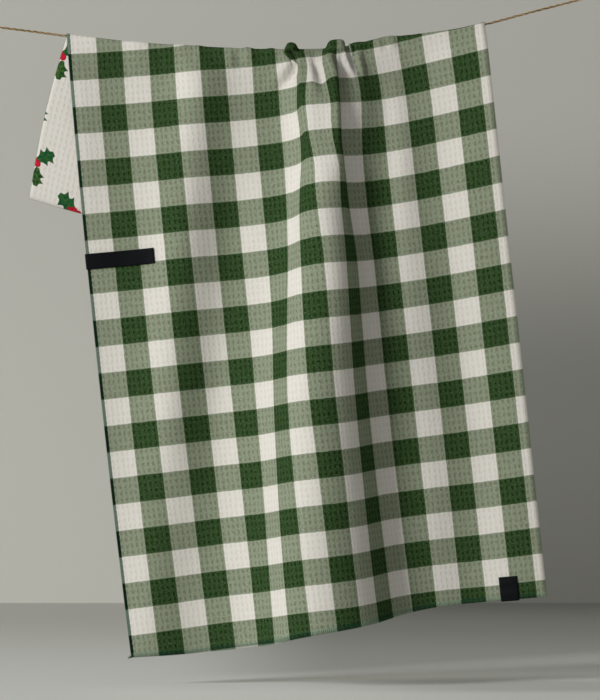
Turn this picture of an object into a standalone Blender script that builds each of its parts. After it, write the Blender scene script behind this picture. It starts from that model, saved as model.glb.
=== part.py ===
"""A tea towel hung over a length of jute twine.

The cloth is one rectangle of checked, waffle-textured cloth.  It is described
in its own flat coordinates, counted in checks:

    u   checks across, from the left edge (0) to the right edge (COLUMNS)
    r   checks down the front, with row 0 close below the line

Every column of checks hangs from one point of the twine.  Walking across the
cloth at one height, the cloth turns towards the viewer or away by an angle;
the sections below give these angles, and the shape follows by summing them.
Front of the towel faces -Y, +X is to the right, +Z is up.  The origin is the
middle of the twine's left eye.
"""

from collections import namedtuple
from math import cos, pi, radians, sin

import bmesh
import bpy
import numpy as np

# ---------------------------------------------------------------- dimensions
CHECK = 0.0254              # one check, measured along the cloth
COLUMNS = 18.49             # checks across: a 470 mm wide towel
ROWS = 30.0                 # checks from hem to hem: a 762 mm long towel
CLOTH = 0.0012              # thickness of the cloth
LEAN = radians(6.05)        # how far the front is turned on the line

TWINE_RADIUS = 0.0009
TWINE_SIDES = 8
TWINE_POINTS = 78
GAP = 0.0003                # air between pieces that touch
BEND = TWINE_RADIUS + GAP + CLOTH / 2   # radius of the cloth over the twine

# The twine's route, X and Z of points on it from the left knot to the right.
Route = namedtuple("Route", "x z")
TWINE_ROUTE = (
    Route(0.0128, -0.0017),
    Route(0.0348, -0.0045),
    Route(0.0670, -0.0085),
    Route(0.0985, -0.0127),
    Route(0.1526, -0.0195),
    Route(0.2280, -0.0250),
    Route(0.2995, -0.0277),
    Route(0.3497, -0.0268),
    Route(0.3961, -0.0226),
    Route(0.4424, -0.0150),
    Route(0.5023, -0.0018),
    Route(0.5468, 0.0100),
    Route(0.5980, 0.0232),
    Route(0.6222, 0.0295),
)
LEFT_EDGE_X = 0.0988        # where the cloth's left edge crosses the twine

# Row of checks that would cross the twine if no pinch stood up there.
Edge = namedtuple("Edge", "u row")
TOP_ROWS = (
    Edge(0.0, -0.84), Edge(2.1, -0.45), Edge(4.1, -0.14), Edge(6.1, 0.12),
    Edge(8.1, 0.38), Edge(10.1, 0.60), Edge(12.1, 0.68), Edge(14.1, 0.77),
    Edge(16.1, 0.90), Edge(18.49, 0.93),
)

# Along the front's hem: the row of checks that it cuts, and how low it hangs.
Hem = namedtuple("Hem", "u row z")
HEM = (
    Hem(0.0, 22.79, -0.6131), Hem(2.1, 22.95, -0.6098), Hem(4.1, 23.02, -0.6046),
    Hem(6.1, 22.98, -0.5978), Hem(8.1, 22.88, -0.5893), Hem(10.1, 22.76, -0.5808),
    Hem(12.1, 22.71, -0.5737), Hem(14.1, 22.60, -0.5644), Hem(16.1, 22.56, -0.5593),
    Hem(18.49, 22.62, -0.5542),
)
SAG = 0.017                 # how much further apart the checks are pulled at the top
SWAY = 0.013                # the front hangs bowed to the left by a quarter of this

# The one deep fold of the front.  For each height (0 at the line, 1 at the
# hem): the check in the middle of the flank that comes forward, how many
# checks it spreads over to the left and to the right of that, and how steep
# it is, the same for the flank that goes back, the slope of the low tail
# right of it, and how much of the depth that these sum up to is kept.
Fold = namedtuple(
    "Fold",
    "height rise_u rise_before rise_after rise_angle "
    "fall_u fall_before fall_after fall_angle tail_angle deep",
)
FOLD_SECTIONS = (
    Fold(0.00, 9.60, 0.90, 0.60, 0, 12.00, 0.80, 0.80, 0, 0, 1.00),
    Fold(0.02, 9.66, 0.90, 0.50, 34, 11.90, 0.70, 0.70, -16, -6, 0.50),
    Fold(0.05, 9.68, 1.25, 0.40, 64, 11.80, 0.46, 0.66, -50, -26, 0.46),
    Fold(0.095, 9.66, 1.35, 0.38, 84, 11.62, 0.32, 0.55, -92, -36, 0.56),
    Fold(0.14, 9.66, 1.40, 0.42, 78, 11.62, 0.34, 0.62, -92, -30, 0.64),
    Fold(0.19, 9.44, 1.25, 0.60, 74, 11.58, 0.52, 0.82, -86, -18, 0.72),
    Fold(0.25, 9.13, 1.24, 1.00, 72, 11.60, 1.00, 1.12, -79, -7, 0.80),
    Fold(0.36, 8.66, 1.38, 1.45, 66, 11.68, 1.60, 1.50, -70, 0, 0.92),
    Fold(0.48, 8.10, 1.65, 1.65, 61, 11.65, 1.75, 1.75, -66, 0, 1.00),
    Fold(0.58, 7.60, 1.80, 1.80, 59, 11.62, 1.80, 1.80, -64, 0, 1.00),
    Fold(0.72, 7.05, 1.72, 1.72, 59, 11.52, 1.88, 1.88, -62, 0, 1.00),
    Fold(0.92, 6.50, 1.88, 1.88, 57, 11.35, 1.98, 1.98, -58, 0, 1.00),
    Fold(1.00, 6.30, 1.95, 1.95, 56, 11.32, 1.98, 1.98, -57, 0, 1.00),
)
TAIL_U, TAIL_SPREAD = 13.6, 1.1     # the check in the middle of the tail, its spread
HAND_OVER = (9.0, 13.5)     # checks between which any odd depth is evened out

# The right edge hangs straight, and the columns between these checks come into
# line with it; below the upper part of the fold it starts further right.
STRAIGHTENED = (9.0, 12.0)
STRAIGHTENED_LATER = 2.6
LATER_HEIGHTS = (0.15, 0.35)

# The cloth eases down over the top of the fold: checks per metre of depth, and
# the heights at which this comes in and goes again.
EASE = 5.0
EASE_IN, EASE_OUT = (0.03, 0.12), (0.12, 0.55)

# Small pinches where the cloth is gathered on the line: their middle, the
# distance from it to each flank and the flank's own spread, all in checks,
# the steepness of both flanks, and how far down the front they fade.
Pinch = namedtuple("Pinch", "u half spread rise fall fade")
PINCHES = (
    Pinch(9.36, 0.34, 0.20, 108, -70, 0.04),
    Pinch(10.55, 0.30, 0.30, -16, 16, 0.05),
    Pinch(12.08, 0.60, 0.26, 68, -90, 0.045),
    Pinch(13.30, 0.32, 0.20, 50, -24, 0.05),
    Pinch(7.45, 0.30, 0.25, 6, -6, 0.10),
    Pinch(6.00, 0.25, 0.20, 5, -5, 0.08),
)

# How far the bunched cloth stands off the twine, beside the pinches.
Perch = namedtuple("Perch", "u lift")
PERCHES = (
    Perch(0.0, 0.0), Perch(13.0, 0.0), Perch(13.4, 0.0005), Perch(13.9, 0.0034),
    Perch(14.8, 0.0045), Perch(15.4, 0.0032), Perch(16.4, 0.0020), Perch(17.4, 0.0003),
    Perch(18.49, 0.0),
)
PERCH_FADE = 0.055

# How far the soft cloth is squeezed together sideways: on the line itself, and
# for good below it, and how far down the front the one fades into the other.
Squeeze = namedtuple("Squeeze", "u line below fade")
SQUEEZES = (
    Squeeze(0.0, 0.99, 0.94, 0.07), Squeeze(1.2, 0.985, 0.97, 0.07),
    Squeeze(3.0, 0.98, 0.98, 0.07), Squeeze(5.0, 0.94, 0.97, 0.07),
    Squeeze(7.6, 0.92, 0.97, 0.07), Squeeze(8.5, 0.62, 1.0, 0.03),
    Squeeze(9.4, 0.86, 1.0, 0.05), Squeeze(10.6, 0.76, 1.0, 0.08),
    Squeeze(11.5, 0.65, 1.0, 0.09), Squeeze(12.6, 0.75, 0.98, 0.08),
    Squeeze(13.6, 0.90, 0.96, 0.08), Squeeze(14.6, 0.88, 0.955, 0.07),
    Squeeze(16.0, 0.985, 0.955, 0.07), Squeeze(18.49, 1.0, 0.96, 0.07),
)

# The back panel's hem, from its left corner to its right one.
BACK_HEM = (
    Route(0.0620, -0.1695),
    Route(0.1120, -0.1840),
    Route(0.2030, -0.2040),
    Route(0.2880, -0.2150),
    Route(0.4000, -0.2120),
    Route(0.5200, -0.2040),
)
BACK_FLARE = 0.010          # how far the back hem stands off
BACK_BOW = 0.0035           # how far the back's left edge bows outwards
Pleat = namedtuple("Pleat", "u spread depth")
BACK_PLEATS = (
    Pleat(9.3, 0.75, 0.015),
    Pleat(11.6, 0.80, 0.016),
    Pleat(13.6, 0.70, 0.011),
)

# How finely the solid is divided.
FINE_FROM, FINE_TO = 8.5, 14.0      # checks between which the columns stand closer
BEND_STEPS = 4
FRONT_STEPS = 27
BACK_STEPS = 9

# The band folded round the left edge, and the label folded round the hem.
BAND = 0.0009               # thickness of both
BAND_LEG_STEPS = 12
BAND_LOOP_STEPS = 6
TAB_ROW = 7.46              # its upper edge
TAB_WIDTH = 0.0150
TAB_FRONT = 0.0680          # from the towel's edge to its end on the front
TAB_BACK = 0.0120
TAB_PROUD = 0.0009
TAG_U = 16.68               # its left edge
TAG_WIDTH = 0.0183
TAG_FRONT = 0.0226
TAG_BACK = 0.0120
TAG_PROUD = 0.0010

# The eyes the twine ends in: a loop of the twine, closed by a knot.
RIGHT_EYE = Route(0.6347, 0.0327)
EYE_LONG = 0.0150           # along the line, to the middle of the twine
EYE_HIGH = 0.0112
EYE_MOUTH = 0.30            # angle from the line at which the loop opens
EYE_POINTS = 30
KNOT_START = 0.0078         # from the eye's centre
KNOT_LENGTH = 0.0048
KNOT_WRAPS = 3
KNOT_STEPS = 6
KNOT_CORE = 0.0019
KNOT_RIDGE = 0.0006
KNOT_SIDES = 14
END_LENGTH = 0.0075

# ----------------------------------------------------------- smooth sampling


def smooth(at, knots, values):
    """Values on a smooth curve through (knots, values), read at the places at."""
    knots = np.asarray(knots, float)
    values = np.asarray(values, float)
    slopes = np.gradient(values, knots)
    at = np.clip(at, knots[0], knots[-1])
    k = np.clip(np.searchsorted(knots, at, side="right") - 1, 0, len(knots) - 2)
    span = knots[k + 1] - knots[k]
    t = (at - knots[k]) / span
    return (
        values[k] * (1 + 2 * t) * (1 - t) ** 2
        + slopes[k] * span * t * (1 - t) ** 2
        + values[k + 1] * t * t * (3 - 2 * t)
        + slopes[k + 1] * span * t * t * (t - 1)
    )


def column(table, name):
    return [getattr(row, name) for row in table]


def bell(x):
    return np.exp(-x * x)


def ramp(x, low, high):
    t = np.clip((x - low) / (high - low), 0, 1)
    return t * t * (3 - 2 * t)


def twine_height(x):
    return smooth(x, column(TWINE_ROUTE, "x"), column(TWINE_ROUTE, "z"))


def along(table, share):
    """X and Z at a share of the way along a route, by its length."""
    x, z = column(table, "x"), column(table, "z")
    chords = np.hypot(np.diff(x), np.diff(z))
    knots = np.concatenate([[0], np.cumsum(chords)]) / chords.sum()
    return smooth(share, knots, x), smooth(share, knots, z)


# -------------------------------------------------------------- draped cloth


def turning(u, height):
    """How steeply the front turns towards the viewer (+) or away (-), in radians."""
    known = {
        name: smooth(height, column(FOLD_SECTIONS, "height"), column(FOLD_SECTIONS, name))
        for name in Fold._fields[1:]
    }
    angle = known["tail_angle"] * bell((u - TAIL_U) / TAIL_SPREAD)
    for flank in ("rise", "fall"):
        off = u - known[flank + "_u"]
        spread = np.where(off < 0, known[flank + "_before"], known[flank + "_after"])
        angle = angle + known[flank + "_angle"] * bell(off / spread)
    for p in PINCHES:
        near = bell(height / p.fade)
        angle = angle + near * p.rise * bell((u - p.u + p.half) / p.spread)
        angle = angle + near * p.fall * bell((u - p.u - p.half) / p.spread)
    return np.radians(angle)


def running_sum(steps):
    """Trapezoid sums along the first axis, starting at zero."""
    total = np.cumsum((steps[1:] + steps[:-1]) / 2, axis=0)
    return np.concatenate([np.zeros_like(total[:1]), total])


def across(u, height, top_rows, hem_rows):
    """X and forward depth of the front, summed across the cloth."""
    row_slope = np.gradient(top_rows + height * (hem_rows - top_rows), axis=0)
    step = np.gradient(u, axis=0)
    widen = cos(LEAN) * step + sin(LEAN) * row_slope
    line = smooth(u, column(SQUEEZES, "u"), column(SQUEEZES, "line"))
    below = smooth(u, column(SQUEEZES, "u"), column(SQUEEZES, "below"))
    fade = smooth(u, column(SQUEEZES, "u"), column(SQUEEZES, "fade"))
    squeeze = below + (line - below) * bell(height / fade)
    angle = turning(u, height)
    x = CHECK * running_sum(widen * squeeze * np.cos(angle))
    depth = CHECK * running_sum(widen * squeeze * np.sin(angle))
    depth -= depth[-1:] * ramp(u, *HAND_OVER)
    depth *= smooth(height, column(FOLD_SECTIONS, "height"), column(FOLD_SECTIONS, "deep"))
    depth += smooth(u, column(PERCHES, "u"), column(PERCHES, "lift")) * bell(height / PERCH_FADE)
    return x, depth


def rows_at(u, stand):
    """The rows of checks on top of the twine and at the hem."""
    top = smooth(u, column(TOP_ROWS, "u"), column(TOP_ROWS, "row")) - stand * pi / 2 / CHECK
    return top, smooth(u, column(HEM, "u"), column(HEM, "row"))


def drape(across_checks, arc_steps, front_shares, back_shares):
    """The middle surface of the cloth, back hem first, front hem last.

    Gives points[column, row, xyz] and rows[column, row], the r of each point.

    across_checks: the u of each column.  arc_steps: steps of the bend over
    the twine on each side.  front_shares and back_shares: places from the
    end of the bend (0) to the hem (1), both growing and ending with 1.
    """
    u = np.asarray(across_checks, float)[:, None]

    # top line: the cloth on the twine, with its pinches standing up
    x_top, stand = across(u, np.zeros_like(u), *rows_at(u, 0))
    x_top += LEFT_EDGE_X
    stand = np.maximum(stand, 0)
    top, hem = rows_at(u, stand)
    length = CHECK * (hem - top)
    radius = BEND + stand
    z_line = twine_height(x_top)
    z_hem = smooth(u, column(HEM, "u"), column(HEM, "z"))
    quarter = radius * pi / 2

    # front: the bend, then the fall
    turn = np.arange(arc_steps + 1)[None, :] / arc_steps * pi / 2
    shares = np.asarray(front_shares, float)[None, :]
    s = np.concatenate([radius * turn, quarter + (length - quarter) * shares], axis=1)
    height = s / length
    x, depth = across(np.broadcast_to(u, s.shape), height, top, hem)
    x += LEFT_EDGE_X + s[:1] * sin(LEAN) - SWAY * (height * (1 - height))[:1]
    bent = arc_steps + 1
    drop = shares + SAG * shares * (1 - shares)
    fallen = np.concatenate([np.zeros((1, bent)), drop], axis=1)
    straight = x[-1:, :1] + (x[-1:, -1:] - x[-1:, :1]) * fallen
    later = STRAIGHTENED_LATER * ramp(height, *LATER_HEIGHTS)
    x += (straight - x[-1:]) * ramp(u - later, *STRAIGHTENED)
    out = np.concatenate([radius * np.sin(turn), radius + depth[:, bent:] - stand], axis=1)
    out[:, bent:] = np.maximum(out[:, bent:], BEND)
    z = np.concatenate([z_line + radius * np.cos(turn), z_line + (z_hem - z_line) * drop], axis=1)
    front = np.stack([x, -out, z], axis=2)

    # back: the bend, then down to its own hem, the pinches opening as pleats
    share_u = u / COLUMNS
    hem_x, hem_z = along(BACK_HEM, share_u)
    g = np.asarray(back_shares, float)[None, :]
    rest = x_top + (hem_x - x_top) * g - BACK_BOW * np.sin(pi * g) * (1 - share_u) ** 2
    swell = np.sin(pi * g**0.8) + 0.15 * g
    pleats = sum(p.depth * bell((u - p.u) / p.spread) for p in BACK_PLEATS)
    off = radius + (BACK_FLARE - stand) * ramp(g, 0, 1) + pleats * swell
    bend_x = np.repeat(x_top, arc_steps, axis=1)
    bend_y = radius * np.sin(turn[:, 1:])
    bend_z = z_line + radius * np.cos(turn[:, 1:])
    back = np.stack(
        [
            np.concatenate([bend_x, rest], axis=1),
            np.concatenate([bend_y, off], axis=1),
            np.concatenate([bend_z, z_line + (hem_z - z_line) * g], axis=1),
        ],
        axis=2,
    )

    eased = EASE * ramp(height, *EASE_IN) * (1 - ramp(height, *EASE_OUT))
    rows_front = top + s / CHECK + eased * out
    rows_rest = top - quarter / CHECK + (hem - ROWS - top + quarter / CHECK) * g
    rows_bend = top - radius * turn[:, 1:] / CHECK
    rows_back = np.concatenate([rows_bend, rows_rest], axis=1)
    points = np.concatenate([back[:, ::-1], front], axis=1)
    return points, np.concatenate([rows_back[:, ::-1], rows_front], axis=1)


def normals(points):
    """Unit normals of a grid of points, outwards on front and back."""
    du = np.gradient(points, axis=0)
    dv = np.gradient(points, axis=1)
    n = np.cross(dv, du)
    return n / np.linalg.norm(n, axis=2, keepdims=True)


def placer(columns, points, rows):
    """A function giving the point at (u, r), lifted off the middle surface."""
    lift = normals(points)

    def place(u, r, off=0.0):
        i = int(np.clip(np.searchsorted(columns, u) - 1, 0, len(columns) - 2))
        t = (u - columns[i]) / (columns[i + 1] - columns[i])
        near, far = (
            np.array([np.interp(r, rows[k], points[k, :, c] + off * lift[k, :, c]) for c in range(3)])
            for k in (i, i + 1)
        )
        return (1 - t) * near + t * far

    return place


# ------------------------------------------------------------ folded bands


def band_path(front, back, proud):
    """Distances in from the edge and lifts off the cloth, along a folded band.

    The band starts front from the edge, runs to the edge, turns round it with
    its fold proud of the edge, and ends back from the edge behind the cloth.
    """
    half = CLOTH / 2 + GAP + BAND / 2
    loop = np.linspace(0, pi, BAND_LOOP_STEPS + 1)
    d = np.concatenate([np.linspace(front, 0, BAND_LEG_STEPS + 1)[:-1], -proud * np.sin(loop),
                        np.linspace(0, back, BAND_LEG_STEPS // 2 + 1)[1:]])
    off = np.concatenate([np.full(BAND_LEG_STEPS, half), half * np.cos(loop),
                          np.full(BAND_LEG_STEPS // 2, -half)])
    return d, off


def band(locate, front, back, proud, width):
    """Outer and inner grids of a band folded round an edge of the cloth."""
    d, off = band_path(front, back, proud)
    across_d, across_off = np.gradient(off), -np.gradient(d)
    size = np.hypot(across_d, across_off)
    sheets = []
    for side in (BAND / 2, -BAND / 2):
        # the band's own thickness, square to its path
        dd, oo = d + side * across_d / size, off + side * across_off / size
        sheets.append(np.array([[beyond(locate, a, w, o) for w in np.linspace(0, width, 4)]
                                for a, o in zip(dd, oo)]))
    return sheets


def beyond(locate, d, w, off):
    """A point d in from the edge; with d below zero, that far outside it."""
    if d >= 0:
        return locate(d, w, off)
    out = locate(0, w, 0) - locate(CHECK / 4, w, 0)
    return locate(0, w, off) - out / np.linalg.norm(out) * d


# ------------------------------------------------------------------- solids


def material(name, colour, roughness):
    mat = bpy.data.materials.new(name)
    mat.use_nodes = True
    shader = mat.node_tree.nodes["Principled BSDF"]
    shader.inputs["Base Color"].default_value = (*colour, 1)
    shader.inputs["Roughness"].default_value = roughness
    return mat


def solid(name, verts, faces, mat):
    mesh = bpy.data.meshes.new(name)
    mesh.from_pydata([tuple(map(float, v)) for v in verts], [], faces)
    mesh.validate()
    mesh.materials.append(mat)
    shape = bmesh.new()
    shape.from_mesh(mesh)
    bmesh.ops.recalc_face_normals(shape, faces=shape.faces)
    shape.to_mesh(mesh)
    shape.free()
    thing = bpy.data.objects.new(name, mesh)
    bpy.context.scene.collection.objects.link(thing)
    return thing


def shell(name, outer, inner, mat):
    """A closed sheet between two grids of points."""
    n, m = outer.shape[:2]
    verts = np.concatenate([outer.reshape(-1, 3), inner.reshape(-1, 3)])

    def at(i, j, layer):
        return layer * n * m + i * m + j

    faces = []
    for i in range(n - 1):
        for j in range(m - 1):
            quad = [(i, j), (i + 1, j), (i + 1, j + 1), (i, j + 1)]
            faces.append([at(a, b, 0) for a, b in quad])
            faces.append([at(a, b, 1) for a, b in reversed(quad)])
    rim = [(i, 0) for i in range(n)] + [(n - 1, j) for j in range(1, m)]
    rim += [(i, m - 1) for i in range(n - 2, -1, -1)] + [(0, j) for j in range(m - 2, 0, -1)]
    for a, b in zip(rim, rim[1:] + rim[:1]):
        faces.append([at(*b, 0), at(*a, 0), at(*a, 1), at(*b, 1)])
    return solid(name, verts, faces, mat)


def tube(name, points, radius, mat):
    """A round cord through points, as a curve with filled ends."""
    curve = bpy.data.curves.new(name, "CURVE")
    curve.dimensions = "3D"
    curve.bevel_depth = radius
    curve.bevel_resolution = 2
    curve.use_fill_caps = True
    spline = curve.splines.new("POLY")
    spline.points.add(len(points) - 1)
    for spot, p in zip(spline.points, points):
        spot.co = (*map(float, p), 1)
    curve.materials.append(mat)
    thing = bpy.data.objects.new(name, curve)
    bpy.context.scene.collection.objects.link(thing)
    return thing


def ring_mesh(loops):
    """Vertices and faces of a tube through closed loops, its ends filled."""
    n = len(loops[0])
    verts = np.concatenate(loops)
    faces = [
        [k * n + i, k * n + (i + 1) % n, (k + 1) * n + (i + 1) % n, (k + 1) * n + i]
        for k in range(len(loops) - 1)
        for i in range(n)
    ]
    faces.append(list(range(n))[::-1])
    faces.append([(len(loops) - 1) * n + i for i in range(n)])
    return verts, faces


def eye(name, centre, toward, mat):
    """An eye of twine and its knot: a loop about centre, the knot on the toward side."""
    along_line = np.array([toward[0], 0, toward[1]]) / np.hypot(*toward)
    above = np.array([-along_line[2], 0, along_line[0]])
    depth = np.array([0, 1, 0])

    # the loop: an ellipse about the centre, open where the knot closes it
    turns = np.linspace(EYE_MOUTH, 2 * pi - EYE_MOUTH, EYE_POINTS)
    middle = [
        centre + EYE_LONG / 2 * cos(t) * along_line + EYE_HIGH / 2 * sin(t) * above for t in turns
    ]
    neck = centre + KNOT_START * along_line
    middle = [neck + 0.0016 * along_line + TWINE_RADIUS * above] + middle
    middle += [neck + 0.0016 * along_line - TWINE_RADIUS * above]
    middle = np.array(middle)
    run = np.gradient(middle, axis=0)
    run /= np.linalg.norm(run, axis=1, keepdims=True)
    side = np.cross(run, depth)
    spokes = np.linspace(0, 2 * pi, TWINE_SIDES, endpoint=False)
    loops = [
        np.array([p + TWINE_RADIUS * (cos(a) * s + sin(a) * depth) for a in spokes])
        for p, s in zip(middle, side)
    ]
    loop = solid(name, *ring_mesh(loops), mat)

    # the knot: wraps of the same twine, turned about the line
    loops = []
    for step in range(KNOT_WRAPS * KNOT_STEPS + 1):
        share = step / KNOT_STEPS
        swell = KNOT_CORE + KNOT_RIDGE * abs(sin(pi * share))
        if step in (0, KNOT_WRAPS * KNOT_STEPS):
            swell = KNOT_CORE * 0.75
        at = neck + KNOT_LENGTH * share / KNOT_WRAPS * along_line
        loops.append(np.array([at + swell * (cos(a) * above + sin(a) * depth)
                               for a in np.linspace(0, 2 * pi, KNOT_SIDES, endpoint=False)]))
    knot = solid(name + "_knot", *ring_mesh(loops), mat)

    # the twine's cut end, standing out of the knot
    foot = neck + KNOT_LENGTH * 0.62 * along_line
    tip = foot + END_LENGTH * (0.45 * along_line - 0.75 * above - 0.48 * depth)
    run = (tip - foot) / np.linalg.norm(tip - foot)
    side = np.cross(run, depth)
    side /= np.linalg.norm(side)
    other = np.cross(run, side)
    loops = [
        np.array([p + r * (cos(a) * side + sin(a) * other) for a in spokes])
        for p, r in ((foot, TWINE_RADIUS), ((foot + tip) / 2, TWINE_RADIUS), (tip, TWINE_RADIUS * 1.15))
    ]
    end = solid(name + "_end", *ring_mesh(loops), mat)

    for piece in (knot, end):
        join = loop.modifiers.new("join", "BOOLEAN")
        join.operation, join.solver, join.object = "UNION", "EXACT", piece
    bpy.context.view_layer.update()
    joined = bpy.data.meshes.new_from_object(loop.evaluated_get(bpy.context.evaluated_depsgraph_get()))
    loop.modifiers.clear()
    loop.data = joined
    for piece in (knot, end):
        bpy.data.objects.remove(piece, do_unlink=True)
    return loop


def towel_columns():
    """The u of the solid's columns: close together where the cloth is folded."""
    left = np.linspace(0, FINE_FROM, 17)
    fold = np.linspace(FINE_FROM, FINE_TO, 31)
    right = np.linspace(FINE_TO, COLUMNS, 9)
    return np.concatenate([left, fold[1:], right[1:]])


def growing(count, power):
    return (np.arange(1, count + 1) / count) ** power


def main():
    for old in list(bpy.data.objects):
        bpy.data.objects.remove(old, do_unlink=True)

    cotton = material("checked cotton", (0.50, 0.55, 0.46), 0.95)
    jute = material("jute twine", (0.33, 0.26, 0.16), 0.9)
    satin = material("black satin band", (0.02, 0.02, 0.024), 0.45)
    label = material("black satin label", (0.02, 0.02, 0.024), 0.45)
    left_jute = material("jute twine, left end", (0.33, 0.26, 0.16), 0.9)
    right_jute = material("jute twine, right end", (0.33, 0.26, 0.16), 0.9)

    columns = towel_columns()
    points, rows = drape(columns, BEND_STEPS, growing(FRONT_STEPS, 1.25), growing(BACK_STEPS, 1.1))
    lift = normals(points) * CLOTH / 2
    shell("towel", points + lift, points - lift, cotton)

    place = placer(columns, points, rows)

    def on_left_edge(d, w, off):
        return place(d / CHECK, TAB_ROW + w / CHECK, off)

    shell("side_tab", *band(on_left_edge, TAB_FRONT, TAB_BACK, TAB_PROUD, TAB_WIDTH), satin)

    def on_hem(d, w, off):
        u = TAG_U + w / CHECK
        return place(u, smooth(u, column(HEM, "u"), column(HEM, "row")) - d / CHECK, off)

    shell("hem_tag", *band(on_hem, TAG_FRONT, TAG_BACK, TAG_PROUD, TAG_WIDTH), label)

    x = np.linspace(TWINE_ROUTE[0].x, TWINE_ROUTE[-1].x, TWINE_POINTS)
    tube("twine", np.stack([x, 0 * x, twine_height(x)], axis=1), TWINE_RADIUS, jute)
    eye("left_eye", np.array([0, 0, 0]), (TWINE_ROUTE[0].x, TWINE_ROUTE[0].z), left_jute)
    eye("right_eye", np.array([RIGHT_EYE.x, 0, RIGHT_EYE.z]),
        (TWINE_ROUTE[-1].x - RIGHT_EYE.x, TWINE_ROUTE[-1].z - RIGHT_EYE.z), right_jute)


if __name__ == "__main__":
    main()
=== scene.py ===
"""A checked waffle tea towel hung over a length of jute twine: its looks.

The cloth's shape follows the same named sizes and tables as the CAD solids,
with finer creases added.  Flat coordinates of the cloth are counted in checks:
u across from the left edge, r down the front with row 0 close below the line.
"""

from collections import namedtuple
from functools import reduce
from math import cos, pi, radians, sin
from operator import mul

import bpy
import numpy as np
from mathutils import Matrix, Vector

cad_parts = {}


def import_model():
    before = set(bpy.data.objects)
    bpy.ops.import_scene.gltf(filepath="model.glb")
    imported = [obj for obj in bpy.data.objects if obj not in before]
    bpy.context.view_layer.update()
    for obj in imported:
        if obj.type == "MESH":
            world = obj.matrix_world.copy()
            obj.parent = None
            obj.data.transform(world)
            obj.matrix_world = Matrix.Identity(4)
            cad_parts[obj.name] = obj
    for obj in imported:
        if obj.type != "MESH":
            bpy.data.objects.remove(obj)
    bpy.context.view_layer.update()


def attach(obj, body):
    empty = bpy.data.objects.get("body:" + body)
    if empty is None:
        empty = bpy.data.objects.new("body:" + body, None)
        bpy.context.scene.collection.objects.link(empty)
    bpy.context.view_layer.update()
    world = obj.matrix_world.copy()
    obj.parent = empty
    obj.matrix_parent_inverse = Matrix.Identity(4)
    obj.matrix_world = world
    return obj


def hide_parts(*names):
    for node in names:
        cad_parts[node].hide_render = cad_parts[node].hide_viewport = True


def table(kind, *rows):
    return [kind(*row) for row in rows]


# --- sizes of the object
CHECK = 0.0254
COLUMNS = 18.49
ROWS = 30.0
CLOTH = 0.0012
LEAN = radians(6.05)

TWINE_RADIUS = 0.0009
GAP = 0.0003
BEND = TWINE_RADIUS + GAP + CLOTH / 2

Route = namedtuple("Route", "x z")
TWINE_ROUTE = table(
    Route,
    (0.0128, -0.0017), (0.0348, -0.0045), (0.0670, -0.0085), (0.0985, -0.0127),
    (0.1526, -0.0195), (0.2280, -0.0250), (0.2995, -0.0277), (0.3497, -0.0268),
    (0.3961, -0.0226), (0.4424, -0.0150), (0.5023, -0.0018), (0.5468, 0.0100), (0.5980, 0.0232),
    (0.6222, 0.0295),
)
RIGHT_EYE = Route(0.6347, 0.0327)
LEFT_EDGE_X = 0.0988

Edge = namedtuple("Edge", "u row")
TOP_ROWS = table(
    Edge,
    (0.0, -0.84), (2.1, -0.45), (4.1, -0.14), (6.1, 0.12), (8.1, 0.38), (10.1, 0.60),
    (12.1, 0.68), (14.1, 0.77), (16.1, 0.90), (18.49, 0.93),
)
Hem = namedtuple("Hem", "u row z")
HEM = table(
    Hem,
    (0.0, 22.79, -0.6131), (2.1, 22.95, -0.6098), (4.1, 23.02, -0.6046), (6.1, 22.98, -0.5978),
    (8.1, 22.88, -0.5893), (10.1, 22.76, -0.5808), (12.1, 22.71, -0.5737),
    (14.1, 22.60, -0.5644), (16.1, 22.56, -0.5593), (18.49, 22.62, -0.5542),
)
SAG = 0.017
SWAY = 0.013

Fold = namedtuple(
    "Fold",
    "height rise_u rise_before rise_after rise_angle "
    "fall_u fall_before fall_after fall_angle tail_angle deep",
)
FOLD_SECTIONS = table(
    Fold,
    (0.00, 9.60, 0.90, 0.60, 0, 12.00, 0.80, 0.80, 0, 0, 1.00),
    (0.02, 9.66, 0.90, 0.50, 34, 11.90, 0.70, 0.70, -16, -6, 0.50),
    (0.05, 9.68, 1.25, 0.40, 64, 11.80, 0.46, 0.66, -50, -26, 0.46),
    (0.095, 9.66, 1.35, 0.38, 84, 11.62, 0.32, 0.55, -92, -36, 0.56),
    (0.14, 9.66, 1.40, 0.42, 78, 11.62, 0.34, 0.62, -92, -30, 0.64),
    (0.19, 9.44, 1.25, 0.60, 74, 11.58, 0.52, 0.82, -86, -18, 0.72),
    (0.25, 9.13, 1.24, 1.00, 72, 11.60, 1.00, 1.12, -79, -7, 0.80),
    (0.36, 8.66, 1.38, 1.45, 66, 11.68, 1.60, 1.50, -70, 0, 0.92),
    (0.48, 8.10, 1.65, 1.65, 61, 11.65, 1.75, 1.75, -66, 0, 1.00),
    (0.58, 7.60, 1.80, 1.80, 59, 11.62, 1.80, 1.80, -64, 0, 1.00),
    (0.72, 7.05, 1.72, 1.72, 59, 11.52, 1.88, 1.88, -62, 0, 1.00),
    (0.92, 6.50, 1.88, 1.88, 57, 11.35, 1.98, 1.98, -58, 0, 1.00),
    (1.00, 6.30, 1.95, 1.95, 56, 11.32, 1.98, 1.98, -57, 0, 1.00),
)
TAIL_U, TAIL_SPREAD = 13.6, 1.1
HAND_OVER = (9.0, 13.5)
STRAIGHTENED = (9.0, 12.0)
STRAIGHTENED_LATER = 2.6
LATER_HEIGHTS = (0.15, 0.35)
EASE = 5.0
EASE_IN, EASE_OUT = (0.03, 0.12), (0.12, 0.55)

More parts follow.
